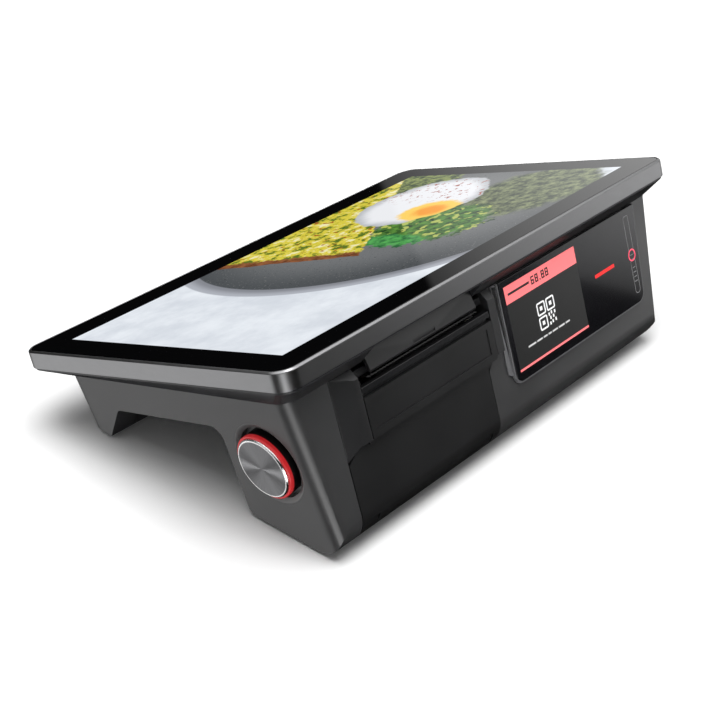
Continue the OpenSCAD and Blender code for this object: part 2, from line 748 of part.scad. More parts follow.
module audio_socket() {
    s = sockets[1];
    color("#18181a") slope() difference() {
        socket_body(1, 12);
        rod_w(s[0], port_w - 1, port_w + 11, floor_n + s[2] / 2, 1.8);
    }
}
module usb_sockets() {
    color("#aeb1b4") slope() for (i = [2:4]) {
        s = sockets[i];
        difference() {
            socket_body(i, 16);
            block(s[0] - 6, s[0] + 6, port_w - 1, port_w + 14, floor_n + 0.5, floor_n + 5.2);
        }
        block(s[0] - 5.5, s[0] + 5.5, port_w + 1, port_w + 15, floor_n + 3.1, floor_n + 4.6);
    }
}
module network_socket() {
    s = sockets[5];
    color("#a8abae") slope() difference() {
        socket_body(5, 20);
        block(s[0] - 5.85, s[0] + 5.85, port_w - 1, port_w + 17, floor_n + 2, floor_n + 10);
        block(s[0] - 3, s[0] + 3, port_w - 1, port_w + 17, floor_n + 9, floor_n + 12);
    }
}
module drawer_socket() {
    s = sockets[6];
    color("#202022") slope() difference() {
        socket_body(6, 18);
        block(s[0] - 4.85, s[0] + 4.85, port_w - 1, port_w + 15, floor_n + 1.6, floor_n + 8.3);
        block(s[0] - 2, s[0] + 2, port_w - 1, port_w + 15, floor_n + 8, floor_n + 10);
    }
}
module speaker() {
    color("#1c1c1e") translate([-60, 61, base_z + hatch_t]) difference() {
        union() {
            cylinder(h = 3, r = 8.5);
            translate([0, 0, 3]) cylinder(h = 3, r = 5.5);
        }
        translate([0, 0, -1]) cylinder(h = 2, r = 7);
    }
}
module ribbon_cables() {
    t = 0.4;
    top = board_n + board_t;
    color("#c8762e") slope() {
        along_x(-52, -36) polygon([[100, top], [157.8, top], [168.9, -34.2], [168.9, -38], [169.4, -38],
            [169.4, -34], [158, top + t], [100, top + t]]);
        along_x(-16, -4) polygon([[92, top], [98.4, top], [98.4, -6.7], [98, -6.7], [98, top + t],
            [92, top + t]]);
    }
}

touch_glass();
display_frame();
display_panel();
display_plate();
back_cover();
main_housing();
side_cheek();
bottom_cover();
rubber_feet();
case_screws();
button_dish();
light_ring();
button_cap();
button_spring();
push_switch();
button_board();
customer_rim();
customer_glass();
customer_panel();
printer_surround();
release_lever();
lever_pin();
lever_springs();
tear_bar();
printer_chassis();
print_head();
head_springs();
platen_roller();
platen_shaft();
platen_bushes();
platen_gear();
idler_gear();
idler_post();
stepping_motor();
motor_pinion();
paper_bin();
paper_roll();
paper_core();
paper_door();
platen_cover();
hinge_brackets();
hinge_pins();
main_board();
heat_sink();
radio_module();
port_board();
power_inlet();
usb_sockets();
network_socket();
drawer_socket();
audio_socket();
speaker();
nfc_coil();
ribbon_cables();
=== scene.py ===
import math

import bmesh
import bpy
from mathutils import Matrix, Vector


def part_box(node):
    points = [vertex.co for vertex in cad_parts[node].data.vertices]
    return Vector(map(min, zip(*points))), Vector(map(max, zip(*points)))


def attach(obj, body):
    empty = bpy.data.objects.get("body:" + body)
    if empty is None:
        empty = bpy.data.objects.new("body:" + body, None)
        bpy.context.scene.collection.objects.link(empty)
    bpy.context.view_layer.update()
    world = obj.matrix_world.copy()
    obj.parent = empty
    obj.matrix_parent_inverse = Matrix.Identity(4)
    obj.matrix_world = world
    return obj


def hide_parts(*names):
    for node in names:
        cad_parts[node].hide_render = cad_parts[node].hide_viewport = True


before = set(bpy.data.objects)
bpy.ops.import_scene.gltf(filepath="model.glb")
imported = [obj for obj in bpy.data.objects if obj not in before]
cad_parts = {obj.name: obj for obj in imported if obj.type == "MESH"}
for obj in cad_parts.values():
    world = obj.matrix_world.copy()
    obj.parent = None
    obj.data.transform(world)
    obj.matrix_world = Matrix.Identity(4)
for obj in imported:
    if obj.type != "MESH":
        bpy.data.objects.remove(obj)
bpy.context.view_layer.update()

# ---- Display -----------------------------------------------------------------------------------------
# A sheet of glass, printed black round the picture, is bonded into a machined aluminium frame with a thin
# bright chamfer. A dark moulded cover is clipped on behind it and narrows to the body.

TILT = math.radians(18)
# Millimetres in a metre: patterns are sized in millimetres
MM = 1000


def refined(node, body, material, bevel=0.0003, angle=32):
    """A smoothed copy of a CAD node, shown in its place.

    Edges sharper than angle, in degrees, are rounded to bevel, in metres, or only kept sharp when it is 0.
    """
    same_point, same_plane = 1e-6, math.radians(0.5)
    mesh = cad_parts[node].data.copy()
    mesh.materials.clear()
    mesh.materials.append(material)
    bm = bmesh.new()
    bm.from_mesh(mesh)
    bmesh.ops.remove_doubles(bm, verts=bm.verts, dist=same_point)
    bmesh.ops.dissolve_limit(bm, angle_limit=same_plane, verts=bm.verts, edges=bm.edges)
    bmesh.ops.recalc_face_normals(bm, faces=bm.faces)
    for face in bm.faces:
        face.smooth = True
        face.material_index = 0
    bm.to_mesh(mesh)
    bm.free()
    if mesh.attributes.get("custom_normal"):
        mesh.attributes.remove(mesh.attributes["custom_normal"])
    piece = bpy.data.objects.new("soft_" + node, mesh)
    bpy.context.scene.collection.objects.link(piece)
    if bevel:
        soft = piece.modifiers.new("Edges", "BEVEL")
        soft.width = bevel
        soft.segments = 2
        soft.limit_method = "ANGLE"
        soft.angle_limit = math.radians(angle)
        soft.harden_normals = True
        soft.use_clamp_overlap = True
    else:
        mesh.set_sharp_from_angle(angle=math.radians(angle))
    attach(piece, body)
    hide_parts(node)
    return piece


class Shader:
    """Writes the nodes of a new material, or of the world, as sums."""

    def __init__(self, owner, output="ShaderNodeOutputMaterial"):
        self.owner = owner
        owner.use_nodes = True
        self.tree = owner.node_tree
        self.tree.nodes.clear()
        self.out = self.tree.nodes.new(output)

    def node(self, kind, **settings):
        made = self.tree.nodes.new(kind)
        for key, value in settings.items():
            setattr(made, key, value)
        return made

    def put(self, socket, value):
        """Link an output to a socket, or set the socket to a plain value."""
        if hasattr(value, "is_output"):
            self.tree.links.new(value, socket)
        else:
            socket.default_value = value

    def math(self, op, a, b=0.0, c=0.0, clamp=False):
        made = self.node("ShaderNodeMath", operation=op, use_clamp=clamp)
        for socket, value in zip(made.inputs, (a, b, c)):
            self.put(socket, value)
        return made.outputs[0]

    def mix(self, factor, a, b):
        made = self.node("ShaderNodeMix", data_type="RGBA")
        self.put(made.inputs[0], factor)
        colour_a, colour_b = made.inputs[6], made.inputs[7]
        for socket, value in ((colour_a, a), (colour_b, b)):
            self.put(socket, value if hasattr(value, "is_output") else (*value, 1.0))
        return made.outputs[2]

    def vector(self, op, a, b=None, out="Vector"):
        made = self.node("ShaderNodeVectorMath", operation=op)
        self.put(made.inputs[0], a)
        if b is not None:
            self.put(made.inputs[1], b)
        return made.outputs[out]

    def split(self, vector):
        made = self.node("ShaderNodeSeparateXYZ")
        self.put(made.inputs[0], vector)
        return made.outputs

    def coords(self, turn=0.0, shift=(0, 0, 0), scale=1.0):
        """Object coordinates after moving by -shift, turning about X by -turn, and scaling."""
        moved = self.vector("SUBTRACT", self.node("ShaderNodeTexCoord").outputs["Object"], shift)
        rotate = self.node("ShaderNodeVectorRotate", rotation_type="X_AXIS")
        self.put(rotate.inputs["Vector"], moved)
        rotate.inputs["Angle"].default_value = -turn
        grow = self.node("ShaderNodeVectorMath", operation="SCALE")
        self.put(grow.inputs[0], rotate.outputs[0])
        grow.inputs["Scale"].default_value = scale
        return grow.outputs[0]

    def noise(self, vector, scale, detail=2.0, rough=0.5):
        made = self.node("ShaderNodeTexNoise")
        self.put(made.inputs["Vector"], vector)
        made.inputs["Scale"].default_value = scale
        made.inputs["Detail"].default_value = detail
        made.inputs["Roughness"].default_value = rough
        return made.outputs[0]

    def step(self, value, low, high, smooth=True):
        """0 at low, rising to 1 at high."""
        made = self.node("ShaderNodeMapRange", interpolation_type="SMOOTHSTEP" if smooth else "LINEAR")
        self.put(made.inputs[0], value)
        made.inputs[1].default_value = low
        made.inputs[2].default_value = high
        return made.outputs[0]

    def bump(self, height, strength, distance):
        made = self.node("ShaderNodeBump")
        made.inputs["Strength"].default_value = strength
        made.inputs["Distance"].default_value = distance
        self.put(made.inputs["Height"], height)
        return made.outputs[0]

    def principled(self, **values):
        made = self.node("ShaderNodeBsdfPrincipled")
        for key, value in values.items():
            self.put(made.inputs[key.replace("_", " ")], value)
        self.tree.links.new(made.outputs[0], self.out.inputs[0])
        return made


def moulded(name, colour, rough, grain=0.25):
    """Moulded plastic with a fine spark-eroded texture, and a slight unevenness in tint and gloss."""
    s = Shader(bpy.data.materials.new(name))
    uneven, texture_depth = 0.07, 0.00004
    fine = s.noise(s.coords(scale=MM), 2.2, 3.0)
    broad = s.noise(s.coords(scale=MM), 0.03, 2.0)
    dark, light = (tuple(c * (1 + side * uneven) for c in colour) for side in (-1, 1))
    s.principled(Base_Color=s.mix(s.step(broad, 0.3, 0.7), dark, light),
                 Roughness=s.math("MULTIPLY_ADD", broad, 0.08, rough - 0.04),
                 Normal=s.bump(fine, grain, texture_depth))
    return s.owner


def metal(name, colour, rough, grain=0.1, stretch=(1.0, 1.0, 1.0)):
    """Metal with a fine blasted grain. A stretch below 1 draws the grain out along that axis."""
    s = Shader(bpy.data.materials.new(name))
    grain_depth = 0.00003
    fine = s.noise(s.vector("MULTIPLY", s.coords(scale=MM), stretch), 1.6, 3.0)
    s.principled(Base_Color=(*colour, 1), Metallic=1.0,
                 Roughness=s.math("MULTIPLY_ADD", fine, 0.12, rough - 0.06),
                 Normal=s.bump(fine, grain, grain_depth))
    return s.owner


frame_metal = metal("frame_metal", (0.27, 0.27, 0.275), 0.34, 0.15, (0.15, 0.15, 1.0))
refined("display_frame", "terminal", frame_metal, 0.00025, 20)
dark_plastic = moulded("dark_plastic", (0.022, 0.022, 0.024), 0.42)
refined("back_cover", "terminal", dark_plastic, 0.0003, 40)

# The lit picture is behind the glass: a laid plate of food on pale stone, with black print round it. It is
# drawn in millimetres, x across and w up the slope from the low edge of the glass.
LOW = Vector((0.0, -0.094529, 0.0414))
# Sides of the picture: lowest and highest x, then lowest and highest w
PICTURE = (-128.1, 128.1, 19.5, 166.0)
# Middle and radius, or middle and both half widths
PLATE = (-47.0, 71.4, 114.6)
EGG = (-77.5, 70.5, 42.0, 34.0)
YOLK = (-61.0, 89.0, 17.0)
BOWL = (-92, 134, 41, 36)
LEAVES = (-38, 108, 31, 33)
STEMS = (-13, 103, 9, 22)
HERBS = (-98, 38, 40, 30)
# A point on each of the two cut sides of the toast, and the direction that faces out of it
TOAST_RIGHT = (11, 96, 0.9646, 0.2637)
TOAST_TOP = (3, 97, -0.53, 0.848)


def picture_material():
    s = Shader(bpy.data.materials.new("touch_glass"))
    p = s.coords(TILT, LOW, MM)
    x, w, _ = s.split(p)
    drift = s.math("MULTIPLY_ADD", s.noise(p, 0.09, 3.0), 22.0, -11.0)
    crinkle = s.math("MULTIPLY_ADD", s.noise(p, 0.17, 4.0, 0.72), 14.0, -7.0)

    def oval(cx, cw, rx, rw, wobble, soft):
        """1 inside an oval with a soft, uneven rim, and the distance from its middle, where 1 is the rim."""
        u = s.math("DIVIDE", s.math("SUBTRACT", x, cx), rx)
        v = s.math("DIVIDE", s.math("SUBTRACT", w, cw), rw)
        far = s.math("SQRT", s.math("ADD", s.math("MULTIPLY", u, u), s.math("MULTIPLY", v, v)))
        if wobble is not None:
            far = s.math("ADD", far, s.math("DIVIDE", wobble, rx))
        return s.step(far, 1.0 + soft, 1.0 - soft), far

    def edge(px, pw, nx, nw, wobble):
        """The distance past an uneven straight cut."""
        d = s.math("MULTIPLY", s.math("SUBTRACT", x, px), nx)
        d = s.math("MULTIPLY_ADD", s.math("SUBTRACT", w, pw), nw, d)
        return s.math("ADD", d, wobble)

    # Stone
    cloud = s.noise(p, 0.035, 6.0, 0.65)
    stone = s.mix(s.step(cloud, 0.3, 0.7), (0.66, 0.70, 0.76), (0.82, 0.86, 0.91))
    # Plate: pale rim, dark speckled bed
    plate, far = oval(*PLATE, PLATE[2], None, 0.006)
    rim = s.mix(s.step(far, 0.93, 0.99), (0.24, 0.25, 0.28), (0.42, 0.44, 0.49))
    bed = s.mix(s.step(far, 0.92, 0.55), (0.075, 0.082, 0.088), (0.165, 0.172, 0.178))
    specks = s.noise(p, 0.75, 2.0, 0.6)
    bed = s.mix(s.step(specks, 0.66, 0.70), bed, (0.02, 0.02, 0.022))
    bed = s.mix(s.step(specks, 0.36, 0.32), bed, (0.2, 0.2, 0.2))
    shown = s.mix(plate, stone, s.mix(s.step(far, 0.915, 0.925), bed, rim))
    # Far herbs and bowl
    bowl, _ = oval(*BOWL, drift, 0.12)
    shown = s.mix(bowl, shown, s.mix(s.step(crinkle, -2, 3), (0.015, 0.03, 0.012), (0.26, 0.30, 0.14)))
    leaf_a = s.mix(s.step(crinkle, -2.5, 2.5), (0.01, 0.035, 0.015), (0.12, 0.30, 0.05))
    leaf_a = s.mix(s.step(s.noise(p, 0.16, 2.0), 0.55, 0.62), leaf_a, (0.45, 0.52, 0.12))
    leaves, _ = oval(*LEAVES, s.math("MULTIPLY", crinkle, 2.6), 0.08)
    shown = s.mix(leaves, shown, leaf_a)
    stems, _ = oval(*STEMS, s.math("MULTIPLY", crinkle, 1.3), 0.1)
    shown = s.mix(stems, shown, s.mix(s.step(crinkle, -3, 2), (0.02, 0.10, 0.04), (0.10, 0.42, 0.10)))
    herbs, _ = oval(*HERBS, drift, 0.1)
    shown = s.mix(herbs, shown, s.mix(s.step(crinkle, -2, 2.5), (0.01, 0.035, 0.012), (0.30, 0.36, 0.10)))
    # Toast: brown crust, chopped yellow and green topping
    right = edge(*TOAST_RIGHT, s.math("MULTIPLY", drift, 0.25))
    top = edge(*TOAST_TOP, s.math("MULTIPLY", crinkle, 0.45))
    toast = s.step(s.math("MAXIMUM", right, top), 0.6, -0.6)
    crust = s.mix(s.step(crinkle, -3, 3), (0.10, 0.03, 0.012), (0.34, 0.13, 0.05))
    bits = s.noise(p, 0.11, 4.0, 0.68)
    topping = s.mix(s.step(bits, 0.40, 0.50), (0.10, 0.17, 0.02), (0.70, 0.60, 0.06))
    topping = s.mix(s.step(bits, 0.53, 0.62), topping, (0.86, 0.82, 0.48))
    topping = s.mix(s.step(s.noise(p, 0.2, 3.0), 0.60, 0.68), topping, (0.36, 0.11, 0.02))
    spread = s.step(s.math("ADD", right, s.math("MULTIPLY", crinkle, 0.9)), -5.5, -8.0)
    shown = s.mix(toast, shown, s.mix(spread, crust, topping))
    # Egg with its yolk and a dusting of spice
    egg, inner = oval(*EGG, s.math("MULTIPLY", drift, 0.45), 0.02)
    white = s.mix(s.step(inner, 1.0, 0.75), (0.50, 0.52, 0.55), (0.84, 0.85, 0.88))
    dust = s.math("MULTIPLY", s.step(s.noise(p, 0.28, 3.0, 0.6), 0.57, 0.64), s.step(x, -70, -88))
    white = s.mix(dust, white, (0.36, 0.07, 0.04))
    yolk, middle = oval(*YOLK, YOLK[2], s.math("MULTIPLY", crinkle, 0.6), 0.12)
    white = s.mix(yolk, white, s.mix(s.step(middle, 0.75, 0.3), (0.95, 0.62, 0.10), (0.90, 0.33, 0.02)))
    shown = s.mix(egg, shown, white)
    # Black print outside the picture
    mid_x, half_x = (PICTURE[0] + PICTURE[1]) / 2, (PICTURE[1] - PICTURE[0]) / 2
    mid_w, half_w = (PICTURE[2] + PICTURE[3]) / 2, (PICTURE[3] - PICTURE[2]) / 2
    out_x = s.math("SUBTRACT", s.math("ABSOLUTE", s.math("SUBTRACT", x, mid_x)), half_x)
    out_w = s.math("SUBTRACT", s.math("ABSOLUTE", s.math("SUBTRACT", w, mid_w)), half_w)
    inside = s.step(s.math("MAXIMUM", out_x, out_w), 0.1, -0.1)
    lit = s.mix(inside, (0.0, 0.0, 0.0), shown)
    smear = s.noise(p, 0.02, 3.0)
    s.principled(Base_Color=(0.001, 0.001, 0.0012, 1), Roughness=s.math("MULTIPLY_ADD", smear, 0.03, 0.02),
                 IOR=1.5, Emission_Color=lit, Emission_Strength=1.0)
    return s.owner


refined("touch_glass", "terminal", picture_material(), 0.0004, 30)

# ---- Body --------------------------------------------------------------------------------------------
# Two injection-moulded shells in the same dark grey plastic: the main housing, and a cheek that slips
# on to its printer end and carries the power button.

body_plastic = moulded("body_plastic", (0.038, 0.038, 0.039), 0.38, 0.35)
refined("main_housing", "terminal", body_plastic, 0.00035, 35)
refined("side_cheek", "terminal", body_plastic, 0.00035, 35)

# ---- Power button ------------------------------------------------------------------------------------
# A radially brushed metal cap with a turned bright edge sits in a ring of red plastic that glows, in a
# black dish pressed into the cheek from inside.

LEAN = math.radians(8)
CHEEK_FOOT_X = 0.1275
BUTTON_Y = 0.0583
BUTTON_Z = 0.0395
RING_PROUD = 0.00315
CAP_EDGE_R = 13.3
button_axis = Vector((math.cos(LEAN), 0, -math.sin(LEAN)))
cap_low, cap_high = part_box("button_cap")
button_mid = (cap_low + cap_high) / 2
# The leaning cheek carries the button's middle out with its height, and the ring stands proud of it
ring_top = Vector((CHEEK_FOOT_X + BUTTON_Z * math.tan(LEAN), BUTTON_Y, BUTTON_Z)) + RING_PROUD * button_axis


def brushed_cap():
    """Radially brushed metal, whose gloss is drawn out across the brush lines, with a bright turned edge."""
    s = Shader(bpy.data.materials.new("cap_metal"))
    arm = s.vector("SUBTRACT", s.node("ShaderNodeTexCoord").outputs["Object"], button_mid)
    around = s.vector("CROSS_PRODUCT", arm, button_axis)
    unit = s.vector("NORMALIZE", around)
    outward = s.vector("CROSS_PRODUCT", button_axis, unit)
    radius = s.math("MULTIPLY", s.vector("LENGTH", around, out="Value"), MM)
    edge = s.step(radius, CAP_EDGE_R, CAP_EDGE_R + 0.3)
    _, unit_y, unit_z = s.split(unit)
    spoke = s.node("ShaderNodeCombineXYZ")
    s.put(spoke.inputs[0], s.math("MULTIPLY", s.math("ARCTAN2", unit_y, unit_z), 60))
    s.put(spoke.inputs[1], s.math("MULTIPLY", radius, 0.12))
    lines = s.noise(spoke.outputs[0], 1.0, 3.0, 0.7)
    tone = s.mix(lines, (0.16, 0.16, 0.165), (0.40, 0.40, 0.41))
    s.principled(Base_Color=s.mix(edge, tone, (0.9, 0.9, 0.9)), Metallic=1.0,
                 Roughness=s.math("MULTIPLY_ADD", edge, -0.2, 0.46), Anisotropic=0.95,
                 Tangent=outward, Normal=s.bump(lines, 0.12, 0.00002))
    return s.owner


def lit_ring():
    """Red and glowing above the dish; below the dish's face it is painted black and unlit, as painted shade
    in the trench round it.
    """
    s = Shader(bpy.data.materials.new("lit_ring"))
    arm = s.vector("SUBTRACT", s.node("ShaderNodeTexCoord").outputs["Object"], ring_top)
    level = s.vector("DOT_PRODUCT", arm, button_axis * MM, "Value")
    # Painted shade: from 1.8 to 2.1 mm below the ring's top it turns black and stops glowing, down in the
    # dish's trench
    shown = s.step(level, -2.1, -1.8)
    grain = s.noise(s.coords(scale=MM), 1.2, 2.0)
    s.principled(Base_Color=s.mix(shown, (0.004, 0.003, 0.003), (0.42, 0.012, 0.015)),
                 Roughness=s.math("MULTIPLY_ADD", grain, 0.1, 0.25),
                 Emission_Color=s.mix(shown, (0.0, 0.0, 0.0), (0.22, 0.008, 0.010)), Emission_Strength=1.0)
    return s.owner


refined("button_cap", "power_button", brushed_cap(), 0.0002, 30)
refined("light_ring", "terminal", lit_ring(), 0.0002, 30)
dish_plastic = moulded("dish_plastic", (0.075, 0.075, 0.076), 0.3)
refined("button_dish", "terminal", dish_plastic, 0.0002, 30)

# ---- Customer display --------------------------------------------------------------------------------
# Black glass in a raised rim on the customer's side. Its lit picture shows an amount on a pink bar, a
# square code and a line under it; a slot-shaped outline with a pink ring is printed at the far end.

rim_plastic = moulded("rim_plastic", (0.12, 0.12, 0.125), 0.34, 0.2)
refined("customer_rim", "terminal", rim_plastic, 0.0002, 30)


def smoked_glass():
    s = Shader(bpy.data.materials.new("customer_glass"))
    shaded_bottom_n, lit_top_n = -66, -20
    p = s.coords(TILT, LOW, MM)
    smear = s.noise(p, 0.03, 3.0)
    _, _, n = s.split(p)
    # Painted shade: the glass is darker towards its bottom and lighter towards its top, as the light falls on
    # it
    tone = s.mix(s.step(n, shaded_bottom_n, lit_top_n), (0.006, 0.006, 0.007), (0.02, 0.02, 0.022))
    s.principled(Base_Color=tone, Roughness=s.math("MULTIPLY_ADD", smear, 0.05, 0.03), IOR=1.5)
    return s.owner


refined("customer_glass", "terminal", smoked_glass(), 0.0003, 30)


def glowing(name, colour, strength):
    s = Shader(bpy.data.materials.new(name))
    grain = s.noise(s.coords(scale=MM), 1.2, 2.0)
    s.principled(Base_Color=(*(c * 0.8 for c in colour), 1),
                 Roughness=s.math("MULTIPLY_ADD", grain, 0.1, 0.25),
                 Emission_Color=(*colour, 1), Emission_Strength=strength)
    return s.owner


# The marks are drawn in millimetres, x across and n square to the touch glass, below it. w is the level of a
# mark up the slope, where FACE is the front of the customer glass and each layer of print adds LAYER.
FACE = 174.4
LAYER = 0.02


def slope_point(x, w, n):
    along, off = w / MM, n / MM
    y = along * math.cos(TILT) - off * math.sin(TILT)
    z = along * math.sin(TILT) + off * math.cos(TILT)
    return LOW + Vector((x / MM, y, z))


def block(x0, x1, n0, n1):
    return [(x0, n0), (x1, n0), (x1, n1), (x0, n1)]


def ring_blocks(cx, cn, rx, rn, corner, line, steps=6):
    """A ring with rounded corners, as quads, with its middle at (cx, cn)."""
    thinnest = 0.01

    def outline(grow):
        points = []
        for quarter, (sx, sn) in enumerate(((1, 1), (-1, 1), (-1, -1), (1, -1))):
            for i in range(steps + 1):
                a = math.radians(90 * quarter + 90 * i / steps)
                r = max(corner + grow, thinnest)
                points.append((cx + sx * (rx - corner) + r * math.cos(a),
                               cn + sn * (rn - corner) + r * math.sin(a)))
        return points

    inner, outer = outline(-line), outline(0)
    count = len(outer)
    return [[outer[i], outer[(i + 1) % count], inner[(i + 1) % count], inner[i]] for i in range(count)]


def printed(name, shapes, layer, material):
    """Flat marks on the customer glass, in that layer of print, each raised by one more."""
    bm = bmesh.new()
    for shape in shapes:
        bm.faces.new([bm.verts.new(slope_point(x, FACE + layer * LAYER, n)) for x, n in shape])
    raised = bmesh.ops.extrude_face_region(bm, geom=list(bm.faces), use_keep_orig=True)["geom"]
    bmesh.ops.translate(bm, verts=[part for part in raised if isinstance(part, bmesh.types.BMVert)],
                        vec=slope_point(0, LAYER, 0) - LOW)
    bmesh.ops.recalc_face_normals(bm, faces=bm.faces)
    mesh = bpy.data.meshes.new(name)
    bm.to_mesh(mesh)
    bm.free()
    mesh.materials.append(material)
    piece = bpy.data.objects.new(name, mesh)
    bpy.context.scene.collection.objects.link(piece)
    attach(piece, "terminal")


def figure(bars, left, low, wide=2.5, high=4.1, bar=0.75):
    """The lit bars of one figure. left is its left edge as the customer sees it, so x falls across it."""
    half = high / 2
    places = {"a": (0, wide, high - bar, high), "g": (0, wide, half - bar / 2, half + bar / 2),
              "d": (0, wide, 0, bar), "f": (0, bar, half, high), "b": (wide - bar, wide, half, high),
              "e": (0, bar, 0, half), "c": (wide - bar, wide, 0, half)}
    spans = [places[k] for k in bars]
    return [block(left - x1, left - x0, low + n0, low + n1) for x0, x1, n0, n1 in spans]


SIX, EIGHT = "acdefg", "abcdefg"
GROUND_X = (-63.6, -5.0)
GROUND_N = (-63.8, -21.0)
BAR_LOW = -29.7
LINE_TOP = -62.7
FIGURES_LOW = -27.3

panel_grey = glowing("panel_grey", (0.010, 0.010, 0.010), 0.5)
pink = glowing("panel_pink", (1.0, 0.20, 0.21), 0.5)
white = glowing("panel_white", (0.85, 0.85, 0.85), 0.5)
soft_white = glowing("panel_soft_white", (0.5, 0.5, 0.5), 0.6)
ink = moulded("panel_ink", (0.02, 0.015, 0.015), 0.5)
printed("picture_ground", [block(*GROUND_X, *GROUND_N)], 0, panel_grey)
stripes = [block(*GROUND_X, BAR_LOW, GROUND_N[1]), block(*GROUND_X, GROUND_N[0], LINE_TOP)]
printed("picture_bar", stripes, 1, pink)

amount = []
for bars, left in ((SIX, -25.9), (EIGHT, -29.2), (EIGHT, -34.4), (EIGHT, -37.7)):
    amount += figure(bars, left, FIGURES_LOW)
point = block(-33.6, -32.8, FIGURES_LOW, FIGURES_LOW + 0.8)
label = block(-24.3, -7.2, -25.9, -24.7)
printed("picture_figures", amount + [point, label], 2, ink)

# Three corner rings and a few loose cells, in no real code
code = []
for cx, cn in ((-29.4, -40.6), (-37.0, -40.6), (-29.4, -48.0)):
    code += ring_blocks(cx, cn, 3.35, 3.3, 1.1, 0.85) + [block(cx - 1.0, cx + 1.0, cn - 1.0, cn + 1.0)]
for cx, cn in ((-34.6, -45.6), (-36.6, -45.2), (-39.2, -45.6), (-35.4, -47.6), (-37.8, -47.4), (-34.6, -50.2),
               (-36.6, -49.8), (-39.2, -49.6)):
    code.append(block(cx - 0.55, cx + 0.55, cn - 0.8, cn + 0.8))
printed("picture_code", code, 1, white)

# A broken line stands for the sentence under the code
WORDS_N = (-55.0, -54.1)
WORD_GAP = 0.9
words = []
left = -14.4
for run in (6.2, 4.6, 3.2, 2.6, 4.4, 5.0, 3.6):
    words.append(block(left - run, left, *WORDS_N))
    left -= run + WORD_GAP
printed("picture_words", words, 1, soft_white)
mark_red = glowing("mark_red", (0.8, 0.01, 0.01), 0.7)
printed("face_mark", [block(-94.0, -76.5, -43.0, -41.2)], 0, mark_red)

SLOT_X = -111.0
SLOT_LINE = 0.35
outline_grey = moulded("outline_grey", (0.22, 0.22, 0.225), 0.4)
slot_lines = ring_blocks(SLOT_X, -32.0, 2.3, 10.6, 1.2, SLOT_LINE)
slot_lines += ring_blocks(SLOT_X, -54.0, 2.3, 9.4, 2.0, SLOT_LINE)
slot_lines += [block(SLOT_X - 1.3, SLOT_X + 1.2, n, n + 0.5) for n in (-49.5, -52.0, -54.5, -57.0)]
printed("slot_outline", slot_lines, 0, outline_grey)
ring_pink = glowing("ring_pink", (0.85, 0.06, 0.12), 0.7)
printed("slot_ring", ring_blocks(SLOT_X, -42.6, 3.3, 3.3, 3.3, 0.8, 10), 1, ring_pink)

# ---- Receipt printer ---------------------------------------------------------------------------------
# A hinged door of satin black plastic covers the paper; it carries the rubber platen. The lever over it
# frees its latch, and the steel cutter is screwed to the sill between the two pillars.

satin_black = moulded("satin_black", (0.012, 0.012, 0.0125), 0.32, 0.15)
gloss_black = moulded("gloss_black", (0.012, 0.012, 0.013), 0.22, 0.1)
surround_plastic = moulded("surround_plastic", (0.02, 0.02, 0.021), 0.34)
refined("printer_surround", "terminal", surround_plastic, 0.0004, 30)
refined("release_lever", "release_lever", satin_black, 0.0004, 30)
refined("paper_door", "paper_door", satin_black, 0.0004, 30)
refined("platen_cover", "paper_door", gloss_black, 0.0003, 30)
steel = metal("bright_steel", (0.62, 0.62, 0.63), 0.28)
refined("tear_bar", "terminal", metal("black_steel", (0.03, 0.03, 0.03), 0.4), 0.0, 30)
for node, body in (("lever_pin", "terminal"), ("platen_shaft", "platen"),
                   ("hinge_pins", "paper_door"), ("idler_post", "terminal"), ("case_screws", "terminal"),
                   ("stepping_motor", "terminal")):
    refined(node, body, steel, 0.0, 30)
sheet = metal("sheet_steel", (0.5, 0.5, 0.5), 0.42, 0.2, (0.2, 1.0, 1.0))
for node in ("printer_chassis", "hinge_brackets", "display_plate", "radio_module", "usb_sockets",
             "network_socket"):
    refined(node, "terminal", sheet, 0.0, 30)
rubber = moulded("rubber", (0.012, 0.012, 0.012), 0.7, 0.5)
refined("platen_roller", "platen", rubber, 0.0002, 30)
refined("rubber_feet", "terminal", rubber, 0.0002, 30)
paper = moulded("paper", (0.80, 0.80, 0.78), 0.6, 0.3)
refined("paper_roll", "paper_supply", paper, 0.0, 30)
refined("paper_core", "paper_supply", moulded("card", (0.30, 0.19, 0.10), 0.8, 0.5), 0.0, 30)
refined("paper_bin", "terminal", dark_plastic, 0.0003, 30)
natural = moulded("gear_plastic", (0.62, 0.60, 0.53), 0.4)
for node, body in (("platen_gear", "platen"), ("idler_gear", "idler"), ("platen_bushes", "paper_door"),
                   ("push_switch", "terminal")):
    refined(node, body, natural, 0.0, 30)
refined("motor_pinion", "motor_rotor", metal("brass", (0.7, 0.5, 0.2), 0.3), 0.0, 30)
head_ceramic = moulded("head_ceramic", (0.10, 0.05, 0.035), 0.25)
refined("print_head", "terminal", head_ceramic, 0.0003, 30)
for node in ("head_springs", "lever_springs", "button_spring"):
    refined(node, "terminal", steel, 0.0, 30)

# ---- Inside and under the body -----------------------------------------------------------------------
# Circuit boards on moulded posts, their sockets in the arch, the hatch with its speaker.

